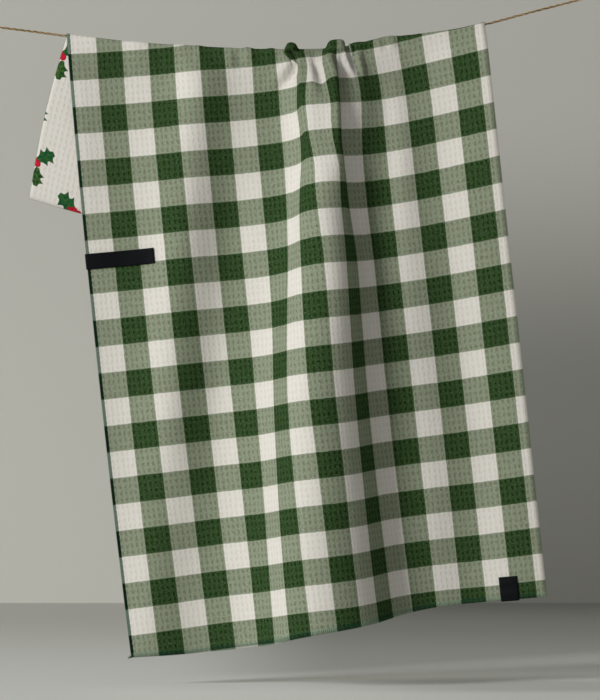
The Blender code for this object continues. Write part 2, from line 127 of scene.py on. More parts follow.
Pinch = namedtuple("Pinch", "u half spread rise fall fade")
PINCHES = table(
    Pinch,
    (9.36, 0.34, 0.20, 108, -70, 0.04), (10.55, 0.30, 0.30, -16, 16, 0.05),
    (12.08, 0.60, 0.26, 68, -90, 0.045), (13.30, 0.32, 0.20, 50, -24, 0.05),
    (7.45, 0.30, 0.25, 6, -6, 0.10), (6.00, 0.25, 0.20, 5, -5, 0.08),
)

Perch = namedtuple("Perch", "u lift")
PERCHES = table(
    Perch,
    (0.0, 0.0), (13.0, 0.0), (13.4, 0.0005), (13.9, 0.0034), (14.8, 0.0045), (15.4, 0.0032),
    (16.4, 0.0020), (17.4, 0.0003), (18.49, 0.0),
)
PERCH_FADE = 0.055

Squeeze = namedtuple("Squeeze", "u line below fade")
SQUEEZES = table(
    Squeeze,
    (0.0, 0.99, 0.94, 0.07), (1.2, 0.985, 0.97, 0.07), (3.0, 0.98, 0.98, 0.07),
    (5.0, 0.94, 0.97, 0.07), (7.6, 0.92, 0.97, 0.07), (8.5, 0.62, 1.0, 0.03),
    (9.4, 0.86, 1.0, 0.05), (10.6, 0.76, 1.0, 0.08), (11.5, 0.65, 1.0, 0.09),
    (12.6, 0.75, 0.98, 0.08), (13.6, 0.90, 0.96, 0.08), (14.6, 0.88, 0.955, 0.07),
    (16.0, 0.985, 0.955, 0.07), (18.49, 1.0, 0.96, 0.07),
)

BACK_HEM = table(
    Route,
    (0.0620, -0.1695), (0.1120, -0.1840), (0.2030, -0.2040), (0.2880, -0.2150),
    (0.4000, -0.2120), (0.5200, -0.2040),
)
BACK_FLARE = 0.010
BACK_BOW = 0.0035
Pleat = namedtuple("Pleat", "u spread depth")
BACK_PLEATS = table(
    Pleat,
    (9.3, 0.75, 0.015), (11.6, 0.80, 0.016), (13.6, 0.70, 0.011),
)

BAND = 0.0009
TAB_ROW = 7.46
TAB_WIDTH = 0.0150
TAB_FRONT = 0.0680
TAB_BACK = 0.0120
TAB_PROUD = 0.0009
TAG_U = 16.68
TAG_WIDTH = 0.0183
TAG_FRONT = 0.0226
TAG_BACK = 0.0120
TAG_PROUD = 0.0010

EYE_LONG = 0.0150
EYE_HIGH = 0.0112
KNOT_START = 0.0078
KNOT_LENGTH = 0.0048
END_LENGTH = 0.0075

# --- sizes of the visual part
# The photograph's height, and where its camera stands to this scale.
FRAME_HIGH = 700                    # pixels
PIXEL = 0.000966                    # metres at the line, per pixel
ORIGIN_PX = (-36.0, 22.3)           # where the frame's origin lies in the picture
EYE_LEVEL_PX = (300.0, 430.0)       # the point the camera looks level at
DISTANCE = 4.0
SENSOR = 36
FLOOR_Z = -0.640
WALL_Y = 1.90
STAGE_HALF, FLOOR_FROM_Y, WALL_TOP = 9.0, -6, 5
KEY_PLACE, KEY_AIM, KEY_SIZE = (-4.66, -4.18, 1.76), (0.32, 0, -0.3), (1.7, 2.0)
KEY_POWER, KEY_COLOUR = 357, (1.0, 0.985, 0.96)
FILL_STRENGTH, FILL_COLOUR = 0.222, (1.0, 0.985, 0.93)

# Columns of the fine cloth: their spacing in checks, closer in the folds.
WIDE_STEP, FINE_STEP = 0.145, 0.062
FINE_FROM, FINE_TO = 8.3, 14.3
FRONT_STEPS, BACK_STEPS, BEND_STEPS = 196, 50, 6

# Creases of the front: where each one starts and ends, in checks,
# how wide it is to one side, in checks, and how far it stands out (+) or in (-).
Crease = namedtuple("Crease", "u r to_u to_r wide depth")
CREASES = table(
    Crease,
    # beside the first pinch: a curl, the pit under it, and a groove running down left
    (8.95, 0.42, 9.12, 0.78, 0.13, 0.0024), (8.68, 0.56, 8.86, 0.72, 0.11, -0.0026),
    (9.34, 0.52, 9.52, 1.10, 0.11, -0.0028), (9.55, 0.92, 8.10, 1.90, 0.20, -0.0052),
    (8.95, 0.78, 7.80, 1.75, 0.28, 0.0022), (11.75, 1.50, 11.35, 8.00, 0.42, 0.0030),
    (14.75, 1.20, 14.60, 8.20, 0.50, 0.0034),
    # between the pinches
    (10.45, 0.72, 11.25, 0.98, 0.20, -0.0020), (10.46, 1.05, 10.92, 1.95, 0.24, -0.0021),
    (10.20, 1.30, 10.62, 2.60, 0.26, 0.0022), (11.18, 1.30, 11.22, 2.50, 0.20, 0.0020),
    (10.02, 1.20, 10.10, 3.20, 0.16, -0.0012),
    # on and beyond the second pinch
    (11.60, 0.95, 11.66, 2.05, 0.18, 0.0020), (12.04, 0.90, 12.02, 2.00, 0.14, -0.0018),
    (12.56, 0.92, 13.00, 2.05, 0.15, 0.0030), (12.30, 1.10, 12.62, 2.10, 0.15, -0.0016),
    (13.00, 0.90, 13.12, 1.75, 0.12, -0.0026), (12.82, 0.70, 12.95, 0.92, 0.12, -0.0026),
    (13.08, 0.66, 13.10, 0.90, 0.10, 0.0018),
    # the dark gap and the ridge to its right
    (13.27, 0.66, 13.23, 1.15, 0.10, -0.0028), (13.42, 0.98, 13.34, 2.10, 0.15, 0.0030),
    (13.80, 0.95, 13.78, 2.10, 0.30, -0.0011),
    # scallops and dimples along the line
    (14.32, 0.66, 14.34, 1.10, 0.12, 0.0010), (14.56, 0.72, 14.60, 1.15, 0.11, -0.0012),
    (14.82, 0.70, 14.88, 1.20, 0.13, 0.0011), (15.14, 0.80, 15.18, 1.20, 0.12, -0.0010),
    (15.48, 0.75, 15.52, 1.30, 0.18, 0.0009), (14.60, 1.15, 14.70, 2.60, 0.40, -0.0010),
    (15.90, 0.85, 16.00, 2.00, 0.35, 0.0008), (6.25, 0.25, 6.28, 0.95, 0.15, 0.0015),
    (6.58, 0.30, 6.66, 0.95, 0.13, -0.0020), (6.98, 0.10, 7.02, 0.70, 0.15, 0.0016),
    (7.34, 0.25, 7.36, 0.90, 0.15, -0.0012), (7.95, 0.30, 7.90, 1.10, 0.22, 0.0012),
    (5.55, -0.10, 5.60, 0.80, 0.20, -0.0012), (5.10, -0.10, 5.12, 0.60, 0.18, 0.0009),
    (4.40, -0.20, 4.55, 1.20, 0.35, 0.0010), (3.50, -0.30, 3.55, 0.70, 0.20, -0.0009),
    (2.60, -0.40, 2.70, 0.90, 0.30, 0.0008),
)
# Long soft ridges and hollows of the whole front.
CREASES += table(
    Crease,
    (5.30, -0.50, 1.10, 21.0, 1.00, 0.0100), (7.00, -0.50, 3.20, 21.0, 0.95, -0.0060),
    (0.00, 0.50, 0.00, 9.0, 0.90, 0.0036), (16.20, 1.50, 16.20, 30.0, 1.00, -0.0024),
    (18.70, 1.50, 18.70, 30.0, 2.20, 0.0108), (12.68, 2.00, 12.55, 34.0, 0.60, -0.0062),
    (14.40, 4.00, 14.25, 34.0, 0.90, 0.0044),
)
# Where the cloth is pulled along itself: how many metres to the right and up.
Pull = namedtuple("Pull", "u r wide high right up")
PULLS = table(
    Pull,
    (10.80, 1.90, 0.42, 0.75, 0.0000, -0.0034), (11.45, 1.85, 0.30, 0.60, 0.0000, 0.0014),
)
CLEAR_OF_TWINE = (0.05, 0.40)       # checks below the line within which hollows set in
# A short crease sets in and dies away within these shares of its length.
CREASE_IN, CREASE_OUT = (-0.25, 0.20), (0.55, 1.25)
LONG_CREASE = 8.0                   # checks; a longer one brings the cloth straight forward
LONG_OUT = (0.45, 1.30)             # and dies away within these shares of its length
RIDGE_IN, HOLLOW_IN = 1.4, 8.0      # rows in which long ones set in, below the line
LATE_START, LATE_IN = 1.8, 6.0      # one that starts below this row also sets in there
# Softer undulations: how many checks apart, how deep, and where they start.
Swell = namedtuple("Swell", "spacing depth phase")
SWELLS = table(Swell, (5.3, 0.0011, 0.4), (3.1, 0.0007, 1.9), (8.7, 0.0015, 3.3))
SWELL_IN = (0.1, 2.5)               # rows below the line

THREAD = 0.00062            # pitch of the cloth's own threads
STITCH_PITCH = 0.0018
STITCH_REACH = 0.0041
LEFT_REACH = 0.68           # how much of that the left edge's threads reach
STITCH_RADIUS = 0.00027
STITCH_OVER = CLOTH / 2 + STITCH_RADIUS * 0.55      # off the cloth's middle
# One edge stitch: how far in from the edge (a share of its reach, and metres), how
# far along in its lean, and how far off the cloth, to the front (+) or the back (-).
Station = namedtuple("Station", "share inset lean off")
STATIONS = table(
    Station,
    (1.00, 0, 0.00, 0.55), (0.90, 0, 0.05, 1), (0.50, 0, 0.30, 1), (0, 0.0006, 0.60, 1),
    (0, -0.0003, 0.75, 0.55), (0, -0.0003, 0.85, -0.55), (0, 0.0006, 0.90, -1),
    (0.55, 0, 1.00, -1), (0.95, 0, 1.05, -0.6),
)
CHAIN_PITCH, CHAIN_SWAY = 0.0012, 0.00022
Tail = namedtuple("Tail", "run drop")
TAIL_THREADS = table(Tail, (-0.0034, 0.0004), (-0.0030, -0.0010), (-0.0022, 0.0016))
SEAM_IN = 0.0020            # how far in from a band's ends its seams run
SEAM_PITCH, SEAM_RADIUS = 0.0021, 0.00013
SEAM_ARCH = ((0, -0.0002), (0.12, 0), (0.5, 0.00004), (0.88, 0), (1, -0.0002))  # along, up
BELLY = 0.00035             # how far a band stands out between its seams

LINE_SPACING, EYE_SPACING = 0.0007, 0.0005      # between a twine's rings
TWIST_PITCH = 0.0210
STRANDS, STRAND_SIDES = 3, 7
STRAND_OFF, STRAND_RADIUS = 0.66, 0.60          # of the twine's radius
WRAPS, WRAP_STEPS, WRAP_OFF = 2.6, 43, 0.00172  # the turns of a knot
FIBRES, FIBRE_RADIUS = 150, 0.00005
FIBRES_CLEAR = (LEFT_EDGE_X - 0.004, 0.502)     # none between these, where the cloth hangs


# --- draped surface


def smooth(at, knots, values):
    """Values on a smooth curve through (knots, values), read at the places at."""
    knots = np.asarray(knots, float)
    values = np.asarray(values, float)
    slopes = np.gradient(values, knots)
    at = np.clip(at, knots[0], knots[-1])
    k = np.clip(np.searchsorted(knots, at, side="right") - 1, 0, len(knots) - 2)
    span = knots[k + 1] - knots[k]
    t = (at - knots[k]) / span
    return (
        values[k] * (1 + 2 * t) * (1 - t) ** 2
        + slopes[k] * span * t * (1 - t) ** 2
        + values[k + 1] * t * t * (3 - 2 * t)
        + slopes[k + 1] * span * t * t * (t - 1)
    )


def read(at, rows, name, by="u"):
    """A column of a table, on a smooth curve through its rows, read at the places at."""
    return smooth(at, [getattr(row, by) for row in rows], [getattr(row, name) for row in rows])


def bell(x):
    return np.exp(-x * x)


def ramp(x, low, high):
    t = np.clip((x - low) / (high - low), 0, 1)
    return t * t * (3 - 2 * t)


def twine_height(x):
    return read(x, TWINE_ROUTE, "z", "x")


def along(route, share):
    """X and Z at a share of the way along a route, by its length."""
    knots = lengths(route)
    return [smooth(share, knots / knots[-1], values) for values in zip(*route)]


def lengths(path):
    """How far along a path each of its points lies."""
    steps = np.linalg.norm(np.diff(path, axis=0), axis=1)
    return np.concatenate([[0], np.cumsum(steps)])


def turning(u, height):
    """How steeply the front turns towards the viewer (+) or away (-), in radians."""
    known = {name: read(height, FOLD_SECTIONS, name, "height") for name in Fold._fields[1:]}
    angle = known["tail_angle"] * bell((u - TAIL_U) / TAIL_SPREAD)
    for flank in ("rise", "fall"):
        off = u - known[flank + "_u"]
        spread = np.where(off < 0, known[flank + "_before"], known[flank + "_after"])
        angle = angle + known[flank + "_angle"] * bell(off / spread)
    for p in PINCHES:
        near = bell(height / p.fade)
        angle = angle + near * p.rise * bell((u - p.u + p.half) / p.spread)
        angle = angle + near * p.fall * bell((u - p.u - p.half) / p.spread)
    return np.radians(angle)


def running_sum(steps):
    total = np.cumsum((steps[1:] + steps[:-1]) / 2, axis=0)
    return np.concatenate([np.zeros_like(total[:1]), total])


def across(u, height, top_rows, hem_rows):
    """X and forward depth of the front, summed across the cloth."""
    row_slope = np.gradient(top_rows + height * (hem_rows - top_rows), axis=0)
    step = np.gradient(u, axis=0)
    widen = cos(LEAN) * step + sin(LEAN) * row_slope
    line, below, fade = (read(u, SQUEEZES, name) for name in ("line", "below", "fade"))
    squeeze = below + (line - below) * bell(height / fade)
    angle = turning(u, height)
    x = CHECK * running_sum(widen * squeeze * np.cos(angle))
    depth = CHECK * running_sum(widen * squeeze * np.sin(angle))
    depth -= depth[-1:] * ramp(u, *HAND_OVER)
    depth *= read(height, FOLD_SECTIONS, "deep", "height")
    depth += read(u, PERCHES, "lift") * bell(height / PERCH_FADE)
    return x, depth


def rows_at(u, stand):
    """The rows of checks on top of the twine and at the hem."""
    return read(u, TOP_ROWS, "row") - stand * pi / 2 / CHECK, read(u, HEM, "row")


def drape(across_checks, arc_steps, front_shares, back_shares):
    """The cloth's middle surface, back hem first: points[column, row, xyz], rows[column, row]."""
    u = np.asarray(across_checks, float)[:, None]
    x_top, stand = across(u, np.zeros_like(u), *rows_at(u, 0))
    x_top += LEFT_EDGE_X
    stand = np.maximum(stand, 0)
    top, hem = rows_at(u, stand)
    length = CHECK * (hem - top)
    radius = BEND + stand
    z_line = twine_height(x_top)
    z_hem = read(u, HEM, "z")
    quarter = radius * pi / 2

    turn = np.arange(arc_steps + 1)[None, :] / arc_steps * pi / 2
    shares = np.asarray(front_shares, float)[None, :]
    s = np.concatenate([radius * turn, quarter + (length - quarter) * shares], axis=1)
    height = s / length
    x, depth = across(np.broadcast_to(u, s.shape), height, top, hem)
    x += LEFT_EDGE_X + s[:1] * sin(LEAN) - SWAY * (height * (1 - height))[:1]
    bent = arc_steps + 1
    drop = shares + SAG * shares * (1 - shares)
    fallen = np.concatenate([np.zeros((1, bent)), drop], axis=1)
    straight = x[-1:, :1] + (x[-1:, -1:] - x[-1:, :1]) * fallen
    later = STRAIGHTENED_LATER * ramp(height, *LATER_HEIGHTS)
    x += (straight - x[-1:]) * ramp(u - later, *STRAIGHTENED)
    out = np.concatenate([radius * np.sin(turn), radius + depth[:, bent:] - stand], axis=1)
    out[:, bent:] = np.maximum(out[:, bent:], BEND)
    z = np.concatenate([z_line + radius * np.cos(turn), z_line + (z_hem - z_line) * drop], axis=1)
    front = np.stack([x, -out, z], axis=2)

    share_u = u / COLUMNS
    hem_x, hem_z = along(BACK_HEM, share_u)
    g = np.asarray(back_shares, float)[None, :]
    rest = x_top + (hem_x - x_top) * g - BACK_BOW * np.sin(pi * g) * (1 - share_u) ** 2
    swell = np.sin(pi * g**0.8) + 0.15 * g
    pleats = sum(p.depth * bell((u - p.u) / p.spread) for p in BACK_PLEATS)
    off = radius + (BACK_FLARE - stand) * ramp(g, 0, 1) + pleats * swell
    turn = turn[:, 1:]
    back_x = np.concatenate([np.repeat(x_top, arc_steps, axis=1), rest], axis=1)
    back_y = np.concatenate([radius * np.sin(turn), off], axis=1)
    over = z_line + radius * np.cos(turn)
    back_z = np.concatenate([over, z_line + (hem_z - z_line) * g], axis=1)
    back = np.stack([back_x, back_y, back_z], axis=2)
    eased = EASE * ramp(height, *EASE_IN) * (1 - ramp(height, *EASE_OUT))
    rows_front = top + s / CHECK + eased * out
    rows_rest = top - quarter / CHECK + (hem - ROWS - top + quarter / CHECK) * g
    rows_back = np.concatenate([top - radius * turn / CHECK, rows_rest], axis=1)
    points = np.concatenate([back[:, ::-1], front], axis=1)
    return points, np.concatenate([rows_back[:, ::-1], rows_front], axis=1)


def normals(points):
    du = np.gradient(points, axis=0)
    dv = np.gradient(points, axis=1)
    n = np.cross(dv, du)
    return n / np.linalg.norm(n, axis=2, keepdims=True)


def relief(u, r, low_row):
    """How far short creases lift the cloth off its drape, and long ones bring it forward."""
    lift, forward = np.zeros_like(r), np.zeros_like(r)
    for c in CREASES:
        run = np.array([c.to_u - c.u, c.to_r - c.r])
        size = np.hypot(*run)
        run = run / size
        t = ((u - c.u) * run[0] + (r - c.r) * run[1]) / size
        side = (u - c.u) * run[1] - (r - c.r) * run[0]
        height = c.depth * bell(side / c.wide)
        if size < LONG_CREASE:
            lift += height * ramp(t, *CREASE_IN) * (1 - ramp(t, *CREASE_OUT))
            continue
        if c.r > LATE_START:
            height = height * ramp(r, c.r, c.r + LATE_IN)
        # a long hollow deepens slowly, so that it keeps clear of the back
        set_in = ramp(r - low_row, 0, RIDGE_IN if c.depth > 0 else HOLLOW_IN)
        forward += height * (1 - ramp(t, *LONG_OUT)) * set_in
    free = ramp(r - low_row, *SWELL_IN)
    for swell in SWELLS:
        a, b = 2 * pi * u / swell.spacing, 2 * pi * r / (2.3 * swell.spacing)
        wave = np.sin(a + 0.8 * np.sin(b + swell.phase) + swell.phase)
        forward += swell.depth * free * wave * np.cos(b * 0.6 - swell.phase)
    # next to the line no hollow reaches down to the twine
    clear = ramp(r - low_row, *CLEAR_OF_TWINE)
    return [np.where(out < 0, out * clear, out) for out in (lift, forward)]


def cloth_grid():
    """The fine cloth: columns, points on its middle surface, their rows, and unit normals."""
    left = np.arange(0, FINE_FROM, WIDE_STEP)
    fold = np.arange(FINE_FROM, FINE_TO, FINE_STEP)
    right = np.linspace(FINE_TO, COLUMNS, int((COLUMNS - FINE_TO) / WIDE_STEP) + 2)
    columns = np.concatenate([left, fold, right])
    front = (np.arange(1, FRONT_STEPS + 1) / FRONT_STEPS) ** 1.12
    back = np.arange(1, BACK_STEPS + 1) / BACK_STEPS
    points, rows = drape(columns, BEND_STEPS, front, back)
    u = np.broadcast_to(columns[:, None], rows.shape)
    low = rows[:, BACK_STEPS + BEND_STEPS][:, None]
    lift, forward = relief(u, rows, low)
    points = points + lift[:, :, None] * normals(points)
    front_side = np.arange(rows.shape[1])[None, :] >= BACK_STEPS + BEND_STEPS
    points[:, :, 1] -= np.where(front_side, forward, 0)
    for p in PULLS:
        here = bell((u - p.u) / p.wide) * bell((rows - p.r) / p.high)
        points += here[:, :, None] * (p.right, 0, p.up)
    return columns, points, rows, normals(points)


def placer(columns, points, rows, lift):
    """A function giving the point at (u, r), lifted off the middle surface."""

    def in_column(k, r, off):
        lifted = points[k] + off * lift[k]
        return np.array([np.interp(r, rows[k], lifted[:, c]) for c in range(3)])

    def place(u, r, off=0.0):
        i = int(np.clip(np.searchsorted(columns, u) - 1, 0, len(columns) - 2))
        t = (u - columns[i]) / (columns[i + 1] - columns[i])
        return (1 - t) * in_column(i, r, off) + t * in_column(i + 1, r, off)

    return place


def beyond(locate, d, w, off):
    """A point d in from the edge; with d below zero, that far outside it."""
    if d >= 0:
        return locate(d, w, off)
    out = locate(0, w, 0) - locate(CHECK / 4, w, 0)
    return locate(0, w, off) - out / np.linalg.norm(out) * d


# --- mesh pieces


def mesh_piece(name, verts, faces, materials, smooth_shade=True):
    """A mesh object from arrays; faces are quads, or triangles, of one size."""
    verts = np.asarray(verts, np.float32)
    faces = np.asarray(faces, np.int32)
    mesh = bpy.data.meshes.new(name)
    n, k = faces.shape
    mesh.vertices.add(len(verts))
    mesh.vertices.foreach_set("co", verts.ravel())
    mesh.loops.add(n * k)
    mesh.loops.foreach_set("vertex_index", faces.ravel())
    mesh.polygons.add(n)
    mesh.polygons.foreach_set("loop_start", np.arange(n, dtype=np.int32) * k)
    mesh.polygons.foreach_set("use_smooth", np.full(n, smooth_shade))
    for mat in materials:
        mesh.materials.append(mat)
    mesh.update(calc_edges=True)
    mesh.validate()
    thing = bpy.data.objects.new(name, mesh)
    bpy.context.scene.collection.objects.link(thing)
    return thing


def write_attribute(thing, name, values):
    made = thing.data.attributes.new(name, "FLOAT_VECTOR", "POINT")
    made.data.foreach_set("vector", np.asarray(values, np.float32).ravel())


def grid_faces(n, m, first=0, flip=False, closed=False):
    """Quads of a grid of n by m points; closed joins the last column to the first."""
    i, j = np.meshgrid(np.arange(n - 1), np.arange(m if closed else m - 1), indexing="ij")
    i, j = i.ravel(), j.ravel()
    k = (j + 1) % m
    quads = np.stack([i * m + j, (i + 1) * m + j, (i + 1) * m + k, i * m + k], axis=1) + first
    return quads[:, ::-1] if flip else quads


def sheet_piece(name, outer, inner, materials):
    """A closed sheet between two grids of points; its inner side takes the last material."""
    n, m = outer.shape[:2]
    top = grid_faces(n, m, 0)
    under = grid_faces(n, m, n * m, flip=True)
    rim = [i * m for i in range(n)] + [(n - 1) * m + j for j in range(1, m)]
    rim += [i * m + m - 1 for i in range(n - 2, -1, -1)] + list(range(m - 2, 0, -1))
    rim = np.array(rim)
    nxt = np.roll(rim, -1)
    side = np.stack([nxt, rim, rim + n * m, nxt + n * m], axis=1)
    verts = np.concatenate([outer.reshape(-1, 3), inner.reshape(-1, 3)])
    thing = mesh_piece(name, verts, np.concatenate([top, under, side]), materials)
    slots = np.repeat([0, len(materials) - 1, 0], [len(top), len(under), len(side)])
    thing.data.polygons.foreach_set("material_index", slots.astype(np.int32))
    return thing


def frames(path):
    """Two unit vectors square to a path at each of its points, turning as little as they can."""
    path = np.asarray(path, float)
    run = np.gradient(path, axis=0)
    run /= np.linalg.norm(run, axis=1, keepdims=True)
    side = np.empty_like(run)
    start = np.cross(run[0], (0.0, 1.0, 0.0))
    if np.linalg.norm(start) < 0.2:
        start = np.cross(run[0], (0.0, 0.0, 1.0))
    side[0] = start / np.linalg.norm(start)
    for i in range(1, len(run)):
        s = side[i - 1] - run[i] * np.dot(side[i - 1], run[i])
        side[i] = s / np.linalg.norm(s)
    return side, np.cross(run, side)


def tube_arrays(path, radius, sides, swell=1.0):
    """Vertices and quads of a tube along a path, open at its ends."""
    path = np.asarray(path, float)
    a, b = frames(path)
    size = radius * swell * np.ones(len(path))
    turn = np.arange(sides) / sides * 2 * pi
    ring = np.cos(turn)[None, :, None] * a[:, None, :] + np.sin(turn)[None, :, None] * b[:, None, :]
    verts = path[:, None, :] + ring * size[:, None, None]
    return verts.reshape(-1, 3), grid_faces(len(path), sides, closed=True, flip=True)


def joined(parts):
    """One pair of arrays from several."""
    verts, faces, at = [], [], 0
    for v, f in parts:
        verts.append(v)
        faces.append(f + at)
        at += len(v)
    return np.concatenate(verts), np.concatenate(faces)


def refined(points, spacing):
    """A route's points, evenly spaced on a smooth curve through them."""
    points = np.asarray(points, float)
    knots = lengths(points)
    at = np.linspace(0, knots[-1], max(4, int(knots[-1] / spacing) + 1))
    return np.stack([smooth(at, knots, points[:, c]) for c in range(3)], axis=1)


def strands(path):
    """The twisted strands of a twine along a path, and how far each of their points faces in, for
    the painted shade of the grooves.
    """
    a, b = frames(path)
    reach = lengths(path)
    off = TWINE_RADIUS * STRAND_OFF
    ends = np.minimum(1, np.minimum(reach, reach[-1] - reach) / 0.0006 + 0.25)
    parts, inward = [], []
    for k in range(STRANDS):
        wander = 0.25 * np.sin(reach * 410 + 2.1 * k) + 0.18 * np.sin(reach * 930 + k)
        angle = 2 * pi * (reach / TWIST_PITCH + k / STRANDS) + wander
        middle = path + off * (np.cos(angle)[:, None] * a + np.sin(angle)[:, None] * b)
        swell = 1 + 0.10 * np.sin(reach * 1330 + 2.6 * k) + 0.06 * np.sin(reach * 3100 + k)
        part = tube_arrays(middle, TWINE_RADIUS * STRAND_RADIUS, STRAND_SIDES, swell * ends)
        parts.append(part)
        spokes = part[0].reshape(len(path), STRAND_SIDES, 3) - middle[:, None, :]
        spokes /= np.linalg.norm(spokes, axis=2, keepdims=True)
        inward.append(0.5 - 0.5 * (spokes * (middle - path)[:, None, :]).sum(axis=2) / off)
    return parts, inward


# --- materials


def math_node(kind):
    """A method of Value: one operation of the math nodes."""

    def work_out(value, *others):
        values = enumerate((value, *others))
        return value.look.make("ShaderNodeMath", values, operation=kind)

    return work_out


class Value:
    """What a material's nodes work out at each point: a number, a place or a colour."""

    __add__ = __radd__ = math_node("ADD")
    __mul__ = __rmul__ = math_node("MULTIPLY")
    __sub__, __truediv__ = math_node("SUBTRACT"), math_node("DIVIDE")
    sine, cosine, root = math_node("SINE"), math_node("COSINE"), math_node("SQRT")
    size, floor, power = math_node("ABSOLUTE"), math_node("FLOOR"), math_node("POWER")
    most, least, folded = math_node("MAXIMUM"), math_node("MINIMUM"), math_node("PINGPONG")

    def __init__(self, look, socket):
        self.look, self.socket = look, socket

    def __rsub__(self, other):
        return self.look.make("ShaderNodeMath", {0: other, 1: self}, operation="SUBTRACT")

    def split(self):
        """Its X, Y and Z."""
        first = self.look.make("ShaderNodeSeparateXYZ", {0: self})
        return [Value(self.look, out) for out in first.socket.node.outputs]

    def scaled(self, by):
        return self.look.make("ShaderNodeVectorMath", {0: self, 1: by}, operation="MULTIPLY")

    def shaded(self, amount):
        """A colour with an amount of its light taken away, 0 for none and 1 for all."""
        inputs = {0: self, "Scale": 1 - amount}
        return self.look.make("ShaderNodeVectorMath", inputs, operation="SCALE")

    def step(self, low, high):
        """A smooth step from 0 at low to 1 at high."""
        inputs = {"Value": self, "From Min": low, "From Max": high}
        return self.look.make("ShaderNodeMapRange", inputs, interpolation_type="SMOOTHSTEP")

    def below(self, low, high):
        """1 where it lies below low, fading to 0 at high."""
        return 1 - self.step(low, high)

    def wave(self, pitch):
        return (self * (2 * pi / pitch)).sine()

    def noise(self, scale, detail=3.0, rough=0.55):
        inputs = {"Vector": self, "Scale": scale, "Detail": detail, "Roughness": rough}
        return self.look.make("ShaderNodeTexNoise", inputs)


class Look:
    """One material and the nodes of its surface."""

    def __init__(self, name):
        self.material = bpy.data.materials.new(name)
        self.material.use_nodes = True
        self.nodes = self.material.node_tree.nodes
        self.links = self.material.node_tree.links
        self.shader = self.nodes["Principled BSDF"]

    def put(self, socket, value):
        if isinstance(value, Value):
            self.links.new(value.socket, socket)
        elif isinstance(value, tuple) and socket.type == "RGBA":
            socket.default_value = (*value, 1)
        else:
            socket.default_value = value

    def make(self, kind, inputs=(), out=0, **settings):
        """An output of a new node, with its settings and inputs filled in."""
        made = self.nodes.new(kind)
        for key, value in settings.items():
            setattr(made, key, value)
        for key, value in dict(inputs).items():
            self.put(made.inputs[key], value)
        return Value(self, made.outputs[out])

    def attribute(self, name):
        return self.make("ShaderNodeAttribute", out="Vector", attribute_name=name)

    def geometry(self, name):
        return self.make("ShaderNodeNewGeometry", out=name)

    def join(self, x, y):
        return self.make("ShaderNodeCombineXYZ", {0: x, 1: y})

    def mix(self, factor, first, second, kind="MIX"):
        inputs = {0: factor, 6: first, 7: second}
        return self.make("ShaderNodeMix", inputs, 2, data_type="RGBA", blend_type=kind)

    def finish(self, colour, roughness, specular, bump=()):
        """The material, its shader filled in; bump is a height, its strength and its size."""
        filled = {"Base Color": colour, "Roughness": roughness, "Specular IOR Level": specular}
        if bump:
            inputs = dict(zip(("Height", "Strength", "Distance"), bump))
            filled["Normal"] = self.make("ShaderNodeBump", inputs)
        for key, value in filled.items():
            self.put(self.shader.inputs[key], value)
        return self.material


# The waffle weave: its pits stand in straight rows, in step with the checks.
PITS_ACROSS, PITS_DOWN = 5, 4       # pits in one check
PIT_U, PIT_R = 0.186, 0.08          # the middle of one pit, in checks
PIT_WIDE, PIT_HIGH = 0.26, 0.36     # half a pit, of the pits' pitch
PIT_EDGE = (0.30, 1.40)             # from a pit's bottom to its ridge
DRIFT_ACROSS, DRIFT_DOWN, FRAY = 0.80, 0.90, 1.9    # how unevenly the pits lie and end
ZIGZAG = 0.07

# Where the printed stripes lie, in checks, and how sharp and how straight they are.
STRIPE_U, STRIPE_R = 11.4, 10.53
STRIPE_EDGE, STRIPE_WOBBLE = (0.480, 0.520), 0.05

# Colours of cotton and thread, for their ridges and for the pits between these; the pits are
# painted darker, as shade in the weave's hollows.
Cotton = namedtuple("Cotton", "ridge pit")
WHITE = Cotton((0.745, 0.724, 0.683), (0.686, 0.652, 0.597))
MID_GREEN = Cotton((0.276, 0.323, 0.234), (0.192, 0.210, 0.143))
DARK_GREEN = Cotton((0.0310, 0.072, 0.0200), (0.0083, 0.028, 0.0034))
LEFT_THREAD = (     # over the light rows of checks, and over the green ones
    Cotton((0.215, 0.275, 0.225), (0.045, 0.080, 0.060)),
    Cotton((0.0080, 0.030, 0.0145), (0.0018, 0.008, 0.004)),
)
HEM_THREAD = ((0.700, 0.715, 0.665), (0.275, 0.400, 0.300), (0.019, 0.075, 0.042))
WORN_DARK, WORN_LIGHT = (0.50, 0.43, 0.36), (0.86, 0.95, 0.80)

# The gathered cloth next to the line is painted darker, as painted shade: by row, and by column.
GATHERED = ((3.6, 1.6), (8.4, 9.3), (15.6, 14.4))
GATHERED_SHADE = 0.17


def waffle(look):
    """The flat cloth and a point's place on it; 1 on the weave's ridges, 0 in its pits; threads."""
    flat = look.attribute("flat")
    x, y, _ = flat.split()
    a = (x / CHECK - PIT_U) * PITS_ACROSS + (flat.noise(160, 2.0) - 0.5) * DRIFT_ACROSS
    b = (y / CHECK - PIT_R) * PITS_DOWN + (flat.noise(420, 2.0) - 0.5) * DRIFT_DOWN
    # every second ridge is pushed aside a little, so that they run as zigzags
    a = a + (b * (2 * pi)).cosine() * ZIGZAG
    wide = a.folded(0.5) / PIT_WIDE
    high = b.folded(0.5) / PIT_HIGH
    reach = (wide * wide + high * high).root() + (flat.noise(850, 3.0, 0.7) - 0.5) * FRAY
    threads = x.wave(THREAD) * y.wave(THREAD) + flat.noise(1900, 2.0) * 1.4
    return flat, x, y, reach.step(*PIT_EDGE), threads


def finish_cotton(look, colour, ridge, threads):
    return look.finish(colour, 0.95, 0.04, (ridge + threads * 0.08, 0.28, 0.0008))


